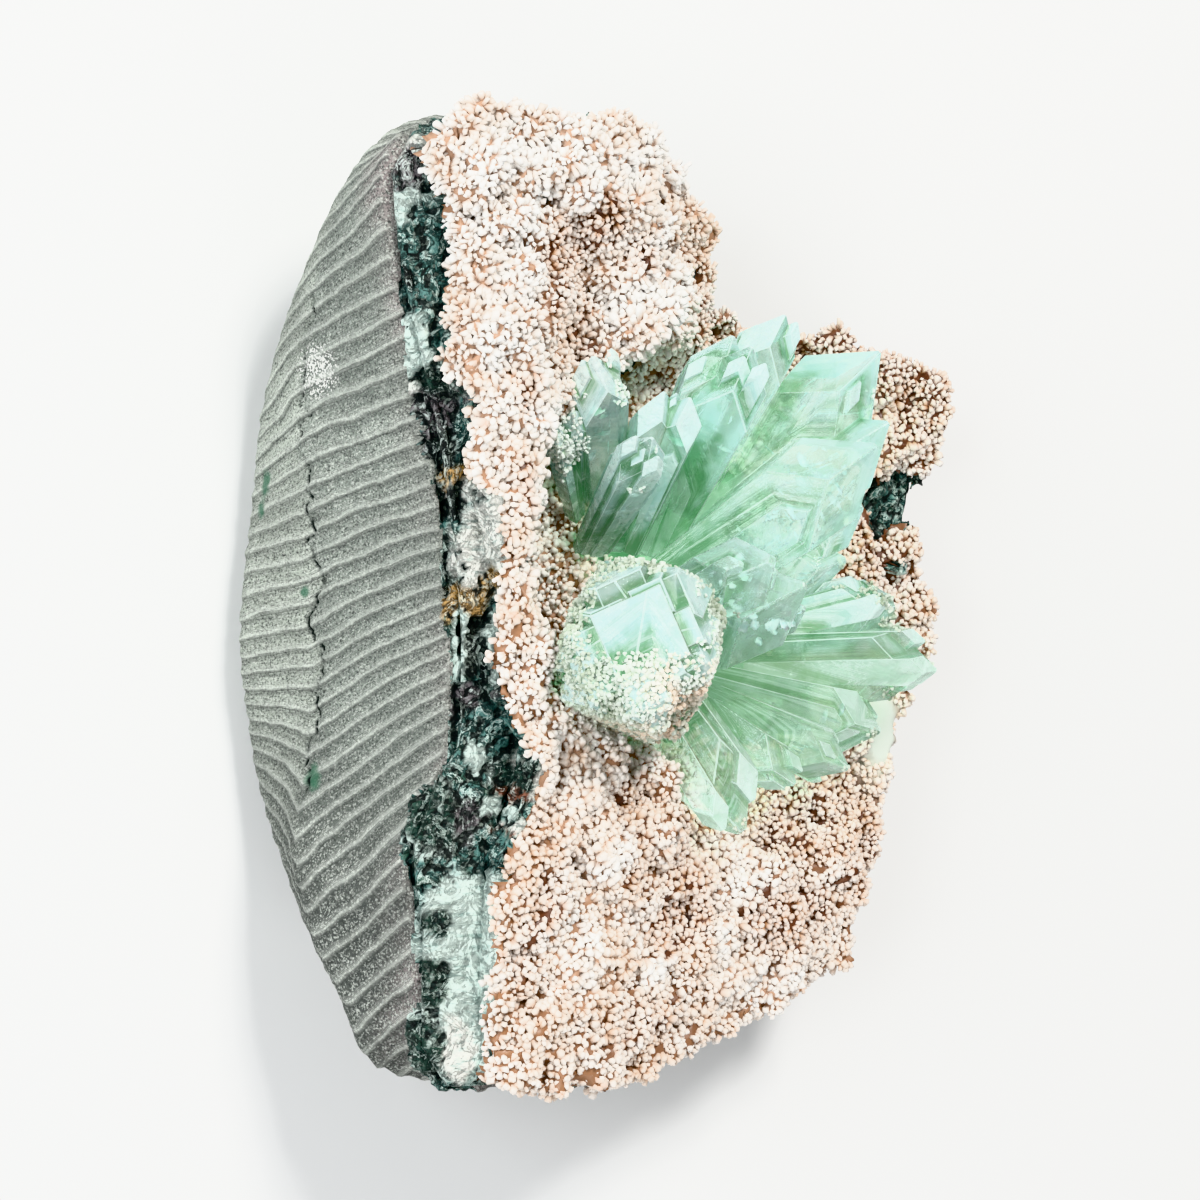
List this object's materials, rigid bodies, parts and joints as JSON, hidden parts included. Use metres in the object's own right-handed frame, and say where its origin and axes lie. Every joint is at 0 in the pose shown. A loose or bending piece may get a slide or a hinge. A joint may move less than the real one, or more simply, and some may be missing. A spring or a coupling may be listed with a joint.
{
  "type": "apophyllite cluster",
  "caption": "Mint green apophyllite spray in a pocket of pink-white stilbite crust on tooled grey-green basalt, lying on its flat sawn back",
  "frame": {"origin": "on the flat sawn back of the stone, under the middle of the specimen", "axes": "+Z out of the back, up through the crust, with the crystals; +Y along the specimen, +X towards its low, thin side"},
  "size_m": [0.1553, 0.1859, 0.0822],
  "materials": {
    "basalt": "chiselled and sawn, fine grain, dull",
    "rind": "earthy, pitted, with pale chalcedony and ochre stains",
    "stilbite": "dense crust of small pearly blades",
    "apophyllite": "glassy faces, milky green body, frosted tips"
  },
  "bodies": {
    "root": {"basalt_matrix": "basalt", "celadonite_rind": "rind", "stilbite_druse": "stilbite", "apophyllite_spray": "apophyllite"}
  },
  "joints": []
}
